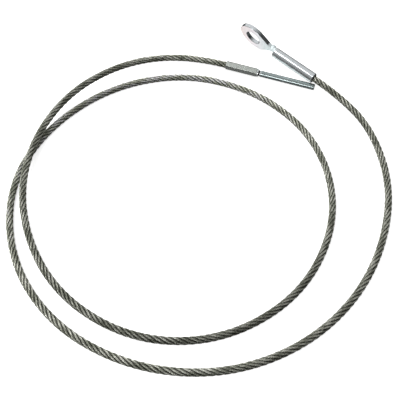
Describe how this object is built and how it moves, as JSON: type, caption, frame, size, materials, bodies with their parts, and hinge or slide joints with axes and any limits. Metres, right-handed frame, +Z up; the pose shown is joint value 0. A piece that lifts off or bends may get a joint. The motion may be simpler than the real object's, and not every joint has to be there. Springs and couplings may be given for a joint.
{
  "type": "wire rope assembly with eye and stud terminals",
  "caption": "Wire rope with a swaged eye terminal at one end and a crimped plain stud at the other, lying in loose loops, for pulling or holding between an eye bolt and a clamp.",
  "frame": {"origin": "centre of the eye's bore, halfway through the lug", "axes": "+Z up off the surface that the assembly lies on; +X and +Y level; the eye terminal points along +X and -Y from its bore to its mouth, and the loops lie on the -Y side"},
  "size_m": [0.259, 0.2684, 0.0244],
  "materials": {
    "eye_plating": "bright zinc plate on forged steel, smooth",
    "sleeve_plating": "dull zinc plate",
    "stud_plating": "satin zinc plate, turned",
    "rope_wire": "galvanised wire, dull grey with light glints"
  },
  "bodies": {
    "root": {"eye_terminal": "eye_plating", "crimp_sleeve": "sleeve_plating", "stud": "stud_plating", "wire_rope": "rope_wire", "eye_end_core_strand": "rope_wire", "eye_end_outer_strand_1": "rope_wire", "eye_end_outer_strand_2": "rope_wire", "eye_end_outer_strand_3": "rope_wire", "eye_end_outer_strand_4": "rope_wire", "eye_end_outer_strand_5": "rope_wire", "eye_end_outer_strand_6": "rope_wire", "stud_end_core_strand": "rope_wire", "stud_end_outer_strand_1": "rope_wire", "stud_end_outer_strand_2": "rope_wire", "stud_end_outer_strand_3": "rope_wire", "stud_end_outer_strand_4": "rope_wire", "stud_end_outer_strand_5": "rope_wire", "stud_end_outer_strand_6": "rope_wire"}
  },
  "joints": []
}
